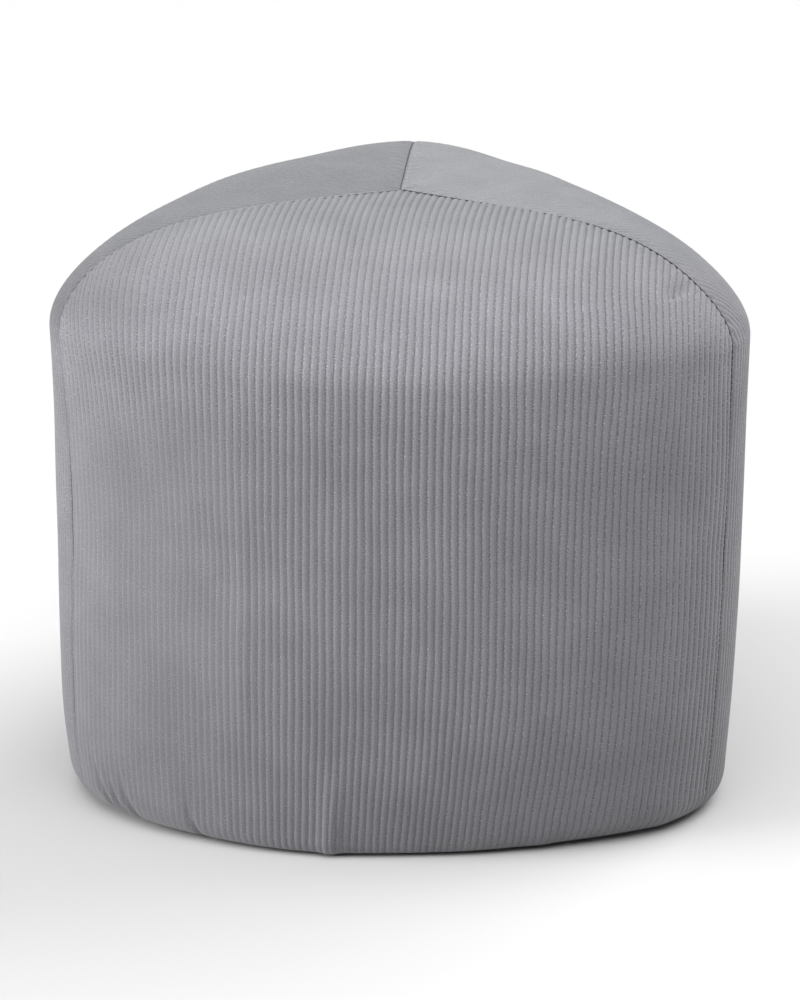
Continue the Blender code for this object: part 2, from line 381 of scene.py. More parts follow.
class NodeKit:
    """Adds and links the nodes of one tree."""

    def __init__(self, tree: NodeTree) -> None:
        """Keep the tree that the nodes go in."""
        self.tree = tree

    def add(self, kind: str, inputs: Inputs | None = None, **options: object) -> Node:
        """Add a node.

        Args:
            kind: The node's type.
            inputs: Value or source of each input that is not left alone.
            options: The node's settings.

        Returns:
            The node.
        """
        node = self.tree.nodes.new(kind)
        for option, value in options.items():
            setattr(node, option, value)
        for socket, value in (inputs or {}).items():
            self.feed(node, socket, value)
        return node

    def feed(self, node: Node, socket: int | str, value: object) -> None:
        """Link an input to a node's output, or give it a constant."""
        entry = node.inputs[socket]
        if isinstance(value, tuple) and isinstance(value[0], Node):
            self.tree.links.new(value[0].outputs[value[1]], entry)
        else:
            entry.default_value = (*value, 1.0) if entry.type == "RGBA" else value

    def math(self, operation: str, first: object, second: object = 0.0) -> Source:
        """Add a math node."""
        return self.add("ShaderNodeMath", {0: first, 1: second}, operation=operation), 0

    def product(self, *factors: object) -> Source:
        """Multiply values or sources."""
        total = factors[0]
        for factor in factors[1:]:
            total = self.math("MULTIPLY", total, factor)
        return total

    def named(self, name: str, kind: str) -> Source:
        """Read a named attribute."""
        return self.add("GeometryNodeInputNamedAttribute", {"Name": name}, data_type=kind), 0

    def noise(self, vector: Source, scale: float, detail: float) -> Source:
        """Read a noise texture at a vector."""
        return self.add("ShaderNodeTexNoise", {"Vector": vector, "Scale": scale, "Detail": detail}), "Fac"

    def ease(self, value: Source, span: Span, result: Span) -> Source:
        """Go smoothly from one result to the other as a value crosses a span."""
        inputs = dict(zip(("Value", "From Min", "From Max", "To Min", "To Max"), (value, *span, *result)))
        return self.add("ShaderNodeMapRange", inputs, interpolation_type="SMOOTHSTEP"), "Result"

    def mix(self, share: object, first: object, second: object, blend: str = "MIX") -> Source:
        """Mix two colours or sources."""
        inputs = {MIX_SHARE: share, MIX_FIRST: first, MIX_SECOND: second}
        return self.add("ShaderNodeMix", inputs, data_type="RGBA", blend_type=blend), MIX_RESULT

    def from_groove(self, place: Source) -> Source:
        """Distance in ribs to the nearest groove; grooves stand at whole numbers."""
        turn = self.math("FRACT", self.math("ADD", place, 0.5))
        return self.math("ABSOLUTE", self.math("SUBTRACT", turn, 0.5))

    def relief(self, shader: Node, height: Source, strength: float, depth: float) -> None:
        """Give a shader a bump."""
        bump = self.add("ShaderNodeBump", {"Strength": strength, "Distance": depth, "Height": height})
        self.feed(shader, "Normal", (bump, "Normal"))

    def two_tones(self, shader: Node, level: Source, colour: Triple, shade: float) -> None:
        """Colour a shader, and darken it by a factor where the level is low."""
        self.feed(shader, "Base Color", self.mix(level, tuple(shade * part for part in colour), colour))


def new_material(name: str, roughness: float) -> tuple[Material, NodeKit, Node]:
    """Start a material.

    Args:
        name: The material's name.
        roughness: How rough it is, 0 to 1.

    Returns:
        The material, a kit for its nodes and its Principled BSDF.
    """
    material = bpy.data.materials.new(name)
    material.use_nodes = True
    shader = material.node_tree.nodes["Principled BSDF"]
    shader.inputs["Roughness"].default_value = roughness
    return material, NodeKit(material.node_tree), shader


def new_group(name: str, sockets: dict[str, str], output: str) -> tuple[NodeTree, NodeKit, tuple]:
    """Start a Geometry Nodes group.

    Args:
        name: The group's name.
        sockets: Kind of each named input.
        output: Name of the geometry that comes out.

    Returns:
        The group, a kit for its nodes, and its input and output nodes.
    """
    tree = bpy.data.node_groups.new(name, "GeometryNodeTree")
    for label, kind in sockets.items():
        tree.interface.new_socket(label, in_out="INPUT", socket_type=f"NodeSocket{kind}")
    tree.interface.new_socket(output, in_out="OUTPUT", socket_type="NodeSocketGeometry")
    kit = NodeKit(tree)
    return tree, kit, (kit.add("NodeGroupInput"), kit.add("NodeGroupOutput"))


def finish_group(kit: NodeKit, shape: Source, material: Material, end: Source) -> None:
    """End a group in Realize Instances and Set Material.

    Args:
        kit: The group's kit.
        shape: Node and output that hold the shape.
        material: What the shape is made of.
        end: The group's output node and its input.
    """
    whole = kit.add("GeometryNodeRealizeInstances", {"Geometry": shape})
    paint = kit.add("GeometryNodeSetMaterial", {"Geometry": (whole, "Geometry"), "Material": material})
    kit.feed(*end, (paint, "Geometry"))


def run_group(item: Object, group: NodeTree, values: dict[str, float]) -> None:
    """Run a group on an object and keep the result as its plain mesh.

    Args:
        item: The object.
        group: The group.
        values: Value of each named input.
    """
    modifier = item.modifiers.new(group.name, "NODES")
    modifier.node_group = group
    for socket in group.interface.items_tree:
        if socket.in_out == "INPUT" and socket.name in values:
            modifier[socket.identifier] = values[socket.name]
    item.update_tag()
    graph = bpy.context.evaluated_depsgraph_get()
    result = bpy.data.meshes.new_from_object(item.evaluated_get(graph), depsgraph=graph)
    item.modifiers.remove(modifier)
    item.data = result


def add_object(name: str, data: ID) -> Object:
    """Put data in the scene as an object with that name."""
    item = bpy.data.objects.new(name, data)
    bpy.context.scene.collection.objects.link(item)
    return item


@dataclass(frozen=True)
class CordFinish:
    """Wide-wale cord: soft crests, grooves darkened with painted shade, loose pile and a faint sheen.

    Each panel has its own painted light and shade, so some values are its own: a tone for the whole
    panel, an upper part made lighter on some panels and darker on others, painted shade over the top
    with the hue of the light there, and painted shade at the foot and in a corner. Light fluff along
    the groove edges also paints a highlight on the rib edges. A place in a rib is a distance from the
    nearest groove, in ribs. A place across the panel is a share of its width from the left seam. A
    climb is a length of cloth above the floor. An ease is a span of some value and the results at its two
    ends.
    """

    name: str
    # Painted shading of the whole panel: each panel's tone is set by how light falls on it.
    painted_panel_shading: float
    # Painted light above 1 and painted shade below 1 on the shoulder and the top, coming in over the next
    # climb.
    painted_upper_shading: float
    painted_upper_climb: Span
    # Painted shade over the top toward the apex, painted light where above 1.
    painted_apex_shading: float
    # Groove colour as a share of the crest's: painted shade in the grooves.
    groove_share: float = 0.76
    # How much painted groove shade is taken off where the cloth is brushed flat.
    brushed: float = 0.0
    # Hue of the light painted over the top, and the climb where it comes in.
    painted_apex_hue: Triple = (0.965, 1.0, 0.978)
    painted_apex_climb: Span = (0.35, 0.52)
    # Share of the painted groove shade kept above the shoulder.
    groove_shade_on_top: float = 0.45
    # Painted shade in the panel's top left corner, near the left seam above the shoulder.
    painted_corner_shade: float = 1.0
    # Painted shade on the wall, darker toward the foot.
    painted_foot_shade: float = 0.85
    tint: Triple = (1.0, 0.988, 1.068)
    crest_tone: float = 0.262
    # Colour of the light fluff, which also stands in for a painted highlight along the rib edges.
    fluff_and_highlight_tone: float = 0.52
    rag_scale: float = 900.0
    rag: Ease = (NOISE_MIDDLE, (-0.05, 0.05))
    pile_scale: float = 1100.0
    patch_scale: float = 26.0
    groove: Ease = ((0.04, 0.28), FALL)
    filled: Ease = ((0.42, 0.60), (1.0, 0.15))
    brushed_across: Span = (0.15, 1.0)
    brushed_climb: Ease = ((0.26, 0.36), (1.0, 0.5))
    # Fluff specks in a band along each groove's edges, partly real fluff and partly a painted highlight on
    # the rib edges.
    strand: Ease = ((0.52, 0.70), (0.04, 0.80))
    strand_starts: Ease = ((0.05, 0.13), (0.1, 1.0))
    strand_ends: Ease = ((0.17, 0.30), (1.0, 0.08))
    patch: Ease = (NOISE_MIDDLE, (0.95, 1.05))
    speck: Ease = ((0.25, 0.75), (0.86, 1.14))
    painted_foot_climb: Span = (0.02, 0.26)
    painted_corner_across: Ease = ((0.05, 0.28), FALL)
    painted_corner_climb: Ease = ((0.37, 0.41), RISE)
    grain: Ease = ((0.2, 0.8), RISE)
    grain_strength: float = 0.55
    grain_depth: float = 0.0004
    roughness: float = 0.88
    sheen: float = 0.35
    sheen_roughness: float = 0.45
    specular: float = 0.15

    def build(self, pitch: float) -> Material:
        """Make the cord material.

        Args:
            pitch: Width of one rib.

        Returns:
            A material that reads the panel's own UV: ribs across, metres along.
        """
        material, kit, shader = new_material(self.name, self.roughness)
        uv = kit.add("ShaderNodeUVMap", uv_map=UV_NAME)
        split = kit.add("ShaderNodeSeparateXYZ", {"Vector": (uv, "UV")})
        place, climb = (split, "X"), (split, "Y")
        across = kit.product(place, 1.0 / RIBS)
        cloth = kit.add("ShaderNodeCombineXYZ", {"X": kit.product(place, pitch), "Y": climb}), "Vector"
        ragged = kit.noise(cloth, self.rag_scale, FINE_DETAIL)
        pile = kit.noise(cloth, self.pile_scale, FINE_DETAIL)
        edge = kit.math("ADD", kit.from_groove(place), kit.ease(ragged, *self.rag))
        brushed = kit.ease(across, self.brushed_across, (self.brushed, 0.0))
        worn = kit.product(brushed, kit.ease(climb, *self.brushed_climb))
        # Painted shade in the grooves, less where pile fills them, where the cloth is brushed flat and above
        # the shoulder.
        painted_groove_shade = kit.product(
            kit.ease(edge, *self.groove),
            kit.ease(pile, *self.filled),
            kit.math("SUBTRACT", 1.0, worn),
            kit.ease(climb, self.painted_upper_climb, (1.0, self.groove_shade_on_top)),
        )
        # Light fluff along the groove edges: partly real fluff, partly a painted highlight on the rib edges.
        fluff_and_edge_highlight = kit.product(
            kit.ease(pile, *self.strand),
            kit.ease(edge, *self.strand_starts),
            kit.ease(edge, *self.strand_ends),
        )
        # Painted shade in the top left corner, by the left seam above the shoulder.
        painted_corner = kit.product(kit.ease(across, *self.painted_corner_across), kit.ease(climb, *self.painted_corner_climb))
        # Random patches and specks, times the painted light and shade of the upper part, the foot and the
        # corner.
        uneven_and_painted_shade = kit.product(
            kit.ease(kit.noise(cloth, self.patch_scale, BROAD_DETAIL), *self.patch),
            kit.ease(ragged, *self.speck),
            kit.ease(climb, self.painted_upper_climb, (1.0, self.painted_upper_shading)),
            # Painted shade, darker toward the foot.
            kit.ease(climb, self.painted_foot_climb, (self.painted_foot_shade, 1.0)),
            kit.ease(painted_corner, RISE, (1.0, self.painted_corner_shade)),
        )
        # Colours scaled by the panel's own painted shading.
        crest = tuple(self.crest_tone * self.painted_panel_shading * part for part in self.tint)
        # Groove colour: the crest darkened with painted shade.
        groove_shade_colour = tuple(self.groove_share * part for part in crest)
        highlight_and_fluff = tuple(self.fluff_and_highlight_tone * self.painted_panel_shading * part for part in self.tint)
        with_fluff_and_edge_highlight = kit.mix(fluff_and_edge_highlight, kit.mix(painted_groove_shade, crest, groove_shade_colour), highlight_and_fluff)
        # Painted shade over the top, tinted with the hue of the light that falls there.
        painted_apex_mask = kit.ease(climb, self.painted_apex_climb, RISE)
        painted_apex = kit.mix(painted_apex_mask, WHITE, tuple(self.painted_apex_shading * part for part in self.painted_apex_hue))
        shaded = kit.mix(1.0, with_fluff_and_edge_highlight, uneven_and_painted_shade, "MULTIPLY")
        kit.feed(shader, "Base Color", kit.mix(1.0, shaded, painted_apex, "MULTIPLY"))
        kit.relief(shader, kit.ease(pile, *self.grain), self.grain_strength, self.grain_depth)
        kit.feed(shader, "Sheen Weight", self.sheen)
        kit.feed(shader, "Sheen Roughness", self.sheen_roughness)
        kit.feed(shader, "Specular IOR Level", self.specular)
        return material


# Each panel's own painted light and shade.
CORDS = {
    Panel.FRONT: CordFinish(
        "cord_panel_front", painted_panel_shading=0.96, painted_upper_shading=1.17, painted_upper_climb=(0.30, 0.37), painted_apex_shading=0.775,
        groove_share=0.55, brushed=0.88, painted_apex_hue=(0.950, 1.0, 0.972), painted_apex_climb=(0.40, 0.56), groove_shade_on_top=1.0,
        painted_corner_shade=0.80, painted_foot_shade=0.82,
    ),
    Panel.BACK_RIGHT: CordFinish(
        "cord_panel_back_right", painted_panel_shading=0.90, painted_upper_shading=1.17, painted_upper_climb=(0.33, 0.38), painted_apex_shading=0.88
    ),
    Panel.BACK_LEFT: CordFinish(
        "cord_panel_back_left", painted_panel_shading=1.02, painted_upper_shading=0.63, painted_upper_climb=(0.36, 0.395), painted_apex_shading=1.10
    ),
}


@dataclass(frozen=True)
class WeaveFinish:
    """Plain woven cloth for the underside."""

    name: str
    colour: Triple
    thread: float = 0.0008
    shade: float = 0.7
    strength: float = 0.5
    depth: float = 0.0003
    roughness: float = 0.95

    def build(self) -> Material:
        """Make a plain-weave material that reads Object coordinates."""
        material, kit, shader = new_material(self.name, self.roughness)
        place = kit.add("ShaderNodeTexCoord")
        split = kit.add("ShaderNodeSeparateXYZ", {"Vector": (place, "Object")})
        turns = [kit.product((split, axis), math.pi / self.thread) for axis in ("X", "Y")]
        over = kit.product(*(kit.math("SINE", turn) for turn in turns))
        height = kit.ease(over, (-1.0, 1.0), RISE)
        kit.two_tones(shader, height, self.colour, self.shade)
        kit.relief(shader, height, self.strength, self.depth)
        return material


@dataclass(frozen=True)
class ThreadFinish:
    """Sewing thread, a shade darker than the cord."""

    name: str
    colour: Triple
    yarn_scale: float = 2600.0
    shade: float = 0.6
    strength: float = 0.4
    depth: float = 0.0002
    roughness: float = 0.7

    def build(self) -> Material:
        """Make the thread material, with the fine unevenness of twisted yarn."""
        material, kit, shader = new_material(self.name, self.roughness)
        place = kit.add("ShaderNodeTexCoord")
        yarn = kit.noise((place, "Object"), self.yarn_scale, FINE_DETAIL)
        level = kit.ease(yarn, NOISE_MIDDLE, RISE)
        kit.two_tones(shader, level, self.colour, self.shade)
        kit.relief(shader, level, self.strength, self.depth)
        return material


@dataclass(frozen=True)
class FloorFinish:
    """Smooth pale floor."""

    name: str
    colour: Triple
    roughness: float = 0.9
    specular: float = 0.1

    def build(self) -> Material:
        """Make the floor material."""
        material, kit, shader = new_material(self.name, self.roughness)
        kit.feed(shader, "Base Color", self.colour)
        kit.feed(shader, "Specular IOR Level", self.specular)
        return material


@dataclass(frozen=True)
class RibRelief:
    """Raises the cord's ribs on a plain panel with Geometry Nodes.

    The panel carries three attributes: its place in ribs across, how much of a rib is left, and the
    way out of the cloth.
    """

    height: float
    groove_share: float

    def group(self, material: Material) -> NodeTree:
        """Make the node group that raises the ribs.

        Args:
            material: The cord.

        Returns:
            A group with inputs for the cloth, the ribs' height and the grooves' share of a rib.
        """
        sockets = {"Cloth": "Geometry", "Rib Height": "Float", "Groove Share": "Float"}
        tree, kit, (start, end) = new_group("raise_ribs", sockets, "Corded")
        from_groove = kit.from_groove(kit.named(RIB_PLACE, "FLOAT"))
        ratio = kit.math("DIVIDE", from_groove, (start, "Groove Share"))
        crest = kit.math("SUBTRACT", 1.0, kit.math("EXPONENT", kit.product(ratio, ratio, -1.0)))
        height = kit.product(crest, (start, "Rib Height"), kit.named(RIB_LEFT, "FLOAT"))
        outward = kit.named(RIB_OUTWARD, "FLOAT_VECTOR")
        move = kit.add("ShaderNodeVectorMath", {"Vector": outward, "Scale": height}, operation="SCALE")
        inputs = {"Geometry": (start, "Cloth"), "Offset": (move, "Vector")}
        raised = kit.add("GeometryNodeSetPosition", inputs)
        finish_group(kit, (raised, "Geometry"), material, (end, "Corded"))
        return tree

    def raise_on(self, item: Object, material: Material) -> None:
        """Raise the ribs on a panel and drop the attributes that say where.

        Args:
            item: The panel.
            material: The cord.
        """
        run_group(item, self.group(material), {"Rib Height": self.height, "Groove Share": self.groove_share})
        for name in (RIB_PLACE, RIB_LEFT, RIB_OUTWARD):
            item.data.attributes.remove(item.data.attributes[name])


@dataclass
class CordPanel:
    """One cut panel of cord: wall, shoulder and a pointed third of the top, filled behind."""

    panel: Panel
    seed: int
    shape: PoufShape = PoufShape()
    folds: tuple[Fold, ...] = ()
    drifts: tuple[Drift, ...] = SHOULDER_DRIFTS
    skew: float = 0.0
    rib_raise: float = 0.0008
    rib_left_at_seam: float = 0.5
    rib_left_on_top: float = 0.6
    brushed: float = 0.0
    brushed_across: Span = (0.05, 0.32)
    brushed_height: Span = (0.28, 0.36)
    top_height: Span = (0.36, 0.40)
    groove_share: float = 0.21
    seam_depth: float = 0.0005
    seam_reach: float = 0.0035
    gather: float = 0.0004
    gather_pitch: float = 0.011
    gather_reach: float = 0.010
    gather_drift: Span = (3.0, 31.0)
    wander: float = 0.00025
    wander_waves: tuple[tuple[float, ...], ...] = ((1.0, 41.0, 0.23, 0.0), (0.6, 97.0, 0.9, 1.3))
    wander_from_seam: Span = (0.004, 0.02)
    drift_from_seam: Span = (0.0, 0.05)
    slack: float = 0.0004
    lump_sizes: tuple[float, ...] = (0.22, 0.13, 0.08)
    lumps_each: int = 3
    piece_gap: float = 0.0003
    floor_fade: float = 0.004
    fill: float = 0.85
    rib_places: tuple[float, ...] = (0.0, 0.09, 0.19, 0.34, 0.5, 0.66, 0.81, 0.91)
    first_rows: tuple[float, ...] = (0.0, 0.004, 0.008, 0.013, 0.02, 0.03, 0.045)
    top_rows: int = 40
    wall_rows: int = 32
    foot_rows: int = 12
    seam_line: Array = field(default_factory=lambda: np.zeros((0, 3)))

    def column_shares(self) -> Array:
        """Shares of the way round the panel at which its columns of points stand."""
        ribs = np.arange(RIBS)[:, None] + np.array(self.rib_places)[None, :]
        return np.append(ribs.ravel(), RIBS) / RIBS

    def levels_and_angles(self, shares: Array) -> tuple[Array, Array, int]:
        """Lay out the panel's points.

        Ribs stand upright on the wall, run straight back over the top and end at the seam. A skewed
        panel's ribs lean a little on the top.

        Args:
            shares: Where the columns stand.

        Returns:
            Levels and angles, each as columns by rows, and the column that ends at the axis.
        """
        shape = self.shape
        wall = shape.even_angles(shares)
        radius, _ = shape.point(np.full_like(wall, SHOULDER_END), wall)
        offset = radius * np.sin(wall + self.skew)
        apex = int(np.argmin(np.abs(offset)))
        offset[apex] = 0.0
        side = np.where(offset > 0.0, HALF_PANEL, -HALF_PANEL)
        start = crossing(
            np.zeros_like(wall), np.full_like(wall, SHOULDER_END),
            lambda at: np.abs(shape.point(at, side)[0] * np.sin(side + self.skew)) < np.abs(offset),
        )
        spread = np.linspace(self.first_rows[-1], 1.0, self.top_rows + 1)[1:]
        parts = np.concatenate([self.first_rows, spread])
        level = start[:, None] + (SHOULDER_END - start)[:, None] * parts[None, :]
        angle = crossing(
            np.full_like(level, -HALF_PANEL), np.full_like(level, HALF_PANEL),
            lambda at: shape.point(level, at)[0] * np.sin(at + self.skew) < offset[:, None],
        )
        angle[:, 0] = side
        angle[:, -1] = wall
        rows = np.concatenate([
            np.linspace(SHOULDER_END, WALL_END, self.wall_rows + 1)[1:],
            np.linspace(WALL_END, FOOT_END, self.foot_rows + 1)[1:],
        ])
        level = np.concatenate([level, np.broadcast_to(rows, (len(wall), len(rows)))], axis=1)
        below = np.broadcast_to(wall[:, None], (len(wall), len(rows)))
        return level, np.concatenate([angle, below], axis=1), apex

    def from_seam(self, level: Array, angle: Array) -> tuple[Array, Array]:
        """Distance from the nearer seam, and the share of its dip there, 1 on the seam."""
        away = self.shape.point(level, angle)[0] * np.sin(HALF_PANEL - np.abs(angle))
        return away, np.clip(1.0 - away / self.seam_reach, 0.0, 1.0)

    def across(self, shares: Array) -> Array:
        """Distance of each column from the panel's middle along its outline."""
        return (shares - 0.5)[:, None] * self.shape.panel_width()

    def ribs_left(self, shares: Array, level: Array, angle: Array) -> Array:
        """Share of a rib's height that is left at each point.

        Args:
            shares: Where the columns stand.
            level: Level of each point.
            angle: Angle of each point.

        Returns:
            Shares, less at the seam, on brushed cloth and where the foot meets the floor.
        """
        _, z = self.shape.point(level, angle)
        at_seam = 1.0 - (1.0 - self.rib_left_at_seam) * self.from_seam(level, angle)[1]
        worn = smooth(0.5 - shares, *self.brushed_across)[:, None] * (1.0 - smooth(z, *self.brushed_height))
        on_top = 1.0 - (1.0 - self.rib_left_on_top) * smooth(z, *self.top_height)
        return at_seam * on_top * (1.0 - self.brushed * worn) * np.clip(FOOT_END - level, 0.0, 1.0)

    def rise(self, shares: Array, level: Array, angle: Array) -> Array:
        """Find how far the cloth under the ribs stands out from the filled shape.

        Args:
            shares: Where the columns stand.
            level: Level of each point.
            angle: Angle of each point.

        Returns:
            Distances outward: the seam's dip, its gathers, lumps and folds.
        """
        r, z = self.shape.point(level, angle)
        away, near = self.from_seam(level, angle)
        along = r * np.cos(HALF_PANEL - np.abs(angle)) + (self.shape.top_height - z)
        size, rate = self.gather_drift
        gathers = np.sin(along * math.tau / self.gather_pitch + size * np.sin(along * rate))
        close = np.exp(-away / self.gather_reach) * (1.0 - near)
        across = self.across(shares)
        soft = self.lumps(across, z) + sum(fold.offset(across, z) for fold in self.folds)
        return self.gather * gathers * close - self.seam_depth * near ** 2 + soft * (1.0 - near)

    def lumps(self, across: Array, height: Array) -> Array:
        """Gentle unevenness of the filling under the cloth."""
        draw = np.random.default_rng(self.seed)
        largest, total = max(self.lump_sizes), 0.0
        for size in self.lump_sizes:
            for _ in range(self.lumps_each):
                heading, phase = draw.uniform(0.0, math.pi), draw.uniform(0.0, math.tau)
                run = across * math.cos(heading) + height * math.sin(heading)
                total = total + size / largest * np.sin(run * math.tau / size + phase)
        return self.slack * total / self.lumps_each

    def points(self, shares: Array, level: Array, angle: Array) -> Array:
        """Points of the cloth's face in the front panel's place, as columns by rows."""
        r, z = self.shape.point(level, angle)
        plain = placed(r, angle, z)
        side = np.zeros_like(plain)
        side[1:-1] = plain[2:] - plain[:-2]
        side /= np.maximum(np.linalg.norm(side, axis=-1, keepdims=True), TINY)
        rise = self.rise(shares, level, angle) * np.clip(FOOT_END - level, 0.0, 1.0)
        along_r, along_z = self.shape.outward(level, angle)
        r = r + along_r * rise
        z = np.maximum(z + along_z * rise, 0.0)
        away = r * np.sin(HALF_PANEL - np.abs(angle))
        count = shares[:, None] * RIBS
        waves = self.wander_waves
        sway = sum(size * np.sin(z * rate + step * count + start) for size, rate, step, start in waves)
        sway = sway * self.wander * smooth(away, *self.wander_from_seam)
        climb = z + np.where(level < SHOULDER_END, np.maximum(self.shape.rim(angle) - r, 0.0), 0.0)
        drawn = sum(drift.offset(self.across(shares), climb) for drift in self.drifts)
        sway = sway + drawn * smooth(away, *self.drift_from_seam)
        return placed(r, angle, z) + side * sway[..., None]

    def build(self) -> Object:
        """Build the panel as one closed piece in its place.

        Returns:
            The panel's object, named after the CAD node it stands for.
        """
        shares = self.column_shares()
        level, angle, apex = self.levels_and_angles(shares)
        face = self.points(shares, level, angle)
        along_r, along_z = self.shape.outward(level, angle)
        outward = placed(along_r, angle, along_z * smooth(face[..., 2], 0.0, self.floor_fade))
        ribs_left = self.ribs_left(shares, level, angle)
        wall = angle[:, -1]
        ring = placed(self.shape.foot_end(wall) - FOOT_RING, wall, np.zeros_like(wall))
        roof = ring + np.array([0.0, 0.0, BASE_THICKNESS + self.piece_gap])
        grid = np.concatenate([face, ring[:, None], roof[:, None]], axis=1)
        columns, rows = grid.shape[:2]
        run = np.linalg.norm(np.diff(grid, axis=1), axis=-1)
        climbed = np.concatenate([run[:, ::-1].cumsum(axis=1)[:, ::-1], np.zeros((columns, 1))], axis=1)
        pivot_row = len(self.first_rows) + self.top_rows - 1
        seam = np.concatenate([face[: apex + 1, 0][::-1][:-1], face[0, pivot_row:]])

        axis_low = np.array([[0.0, 0.0, roof[0, 2]]])
        vertices = np.concatenate([grid.reshape(-1, 3), axis_low])
        axis = len(vertices) - 1
        index = np.arange(columns * rows).reshape(columns, rows)
        index[0, :pivot_row] = index[0, pivot_row]
        index[-1, :pivot_row] = index[-1, pivot_row]
        faces = []
        for left, right in zip(index[:-1], index[1:]):
            for row in range(rows - 1):
                corners = (left[row], left[row + 1], right[row + 1], right[row])
                kept = list(dict.fromkeys(int(corner) for corner in corners))
                if len(kept) > 2:
                    faces.append(kept)
        cloth_faces = len(faces)
        for end, half_run in ((0, range(apex, 0, -1)), (columns - 1, range(apex, columns - 1))):
            top_run = [int(index[i, 0]) for i in half_run]
            wall_run = [int(index[end, row]) for row in range(pivot_row, rows)]
            loop = [axis] + top_run + wall_run
            faces.append(loop if end == 0 else loop[::-1])
        faces.append([axis] + [int(index[i, -1]) for i in range(columns - 1, -1, -1)])

        out = 0.5 * self.piece_gap / math.sin(HALF_PANEL)
        vertices = turned(vertices + np.array([0.0, -out, 0.0]), self.panel.turn)
        vertices = settled(vertices, SETTLED)
        self.seam_line = settled(turned(seam, self.panel.turn), SETTLED)
        mesh = bpy.data.meshes.new(f"cloth_{self.panel.node}")
        mesh.from_pydata(vertices.tolist(), [], faces)
        self.dress(mesh, shares, climbed, cloth_faces)
        hidden = ((0, 0), (0, rows - ribs_left.shape[1]))
        self.mark(mesh, RIB_PLACE, np.append(np.repeat(shares * RIBS, rows), 0.0))
        self.mark(mesh, RIB_LEFT, np.append(np.pad(ribs_left, hidden), 0.0))
        outward = np.pad(turned(outward, self.panel.turn), hidden + ((0, 0),))
        self.mark(mesh, RIB_OUTWARD, np.append(outward, np.zeros(3)))
        item = add_object(f"cloth_{self.panel.node}", mesh)
        drop_loose(item)
        cord = CORDS[self.panel].build(self.shape.panel_width() / RIBS)
        RibRelief(self.rib_raise, self.groove_share).raise_on(item, cord)
        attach(item, "root")
        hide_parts(self.panel.node)
        return item

    def dress(self, mesh: Mesh, shares: Array, climbed: Array, cloth_faces: int) -> None:
        """Give the mesh its UV and smooth shading.

        Args:
            mesh: The panel's mesh.
            shares: Where the columns stand.
            climbed: Length of cloth below each point of the grid.
            cloth_faces: How many faces are cloth; the rest close the solid.
        """
        across = np.broadcast_to(shares[:, None] * RIBS, climbed.shape)
        places = np.concatenate([np.stack([across, climbed], axis=-1).reshape(-1, 2), [[0.0, 0.0]]])
        layer = mesh.uv_layers.new(name=UV_NAME)
        layer.data.foreach_set("uv", places[corner_points(mesh)].astype(np.float32).ravel())
        mesh.shade_smooth()
        flat = mesh.attributes.get("sharp_face") or mesh.attributes.new("sharp_face", "BOOLEAN", "FACE")
        values = np.zeros(len(mesh.polygons), dtype=bool)
        values[cloth_faces:] = True
        flat.data.foreach_set("value", values)

    def mark(self, mesh: Mesh, name: str, values: Array) -> None:
        """Store a number or a vector at each point of the mesh.

        Args:
            mesh: The panel's mesh.
            name: Name of the attribute.
            values: One number or three for each point, in a row.
        """
        vector = values.size == 3 * len(mesh.vertices)
        layer = mesh.attributes.new(name, "FLOAT_VECTOR" if vector else "FLOAT", "POINT")
        layer.data.foreach_set("vector" if vector else "value", values.astype(np.float32))


def corner_points(mesh: Mesh) -> Array:
    """Number of the point at each corner of a mesh's faces."""
    numbers = np.zeros(len(mesh.loops), dtype=np.int32)
    mesh.loops.foreach_get("vertex_index", numbers)
    return numbers


def drop_loose(item: Object) -> None:
    """Remove points that no face uses."""
    mesh = item.data
    used = np.zeros(len(mesh.vertices), dtype=bool)
    used[corner_points(mesh)] = True
    if used.all():
        return
    work = bmesh.new()
    work.from_mesh(mesh)
    work.verts.ensure_lookup_table()
    bmesh.ops.delete(work, geom=[work.verts[int(i)] for i in np.flatnonzero(~used)], context="VERTS")
    work.to_mesh(mesh)
    work.free()


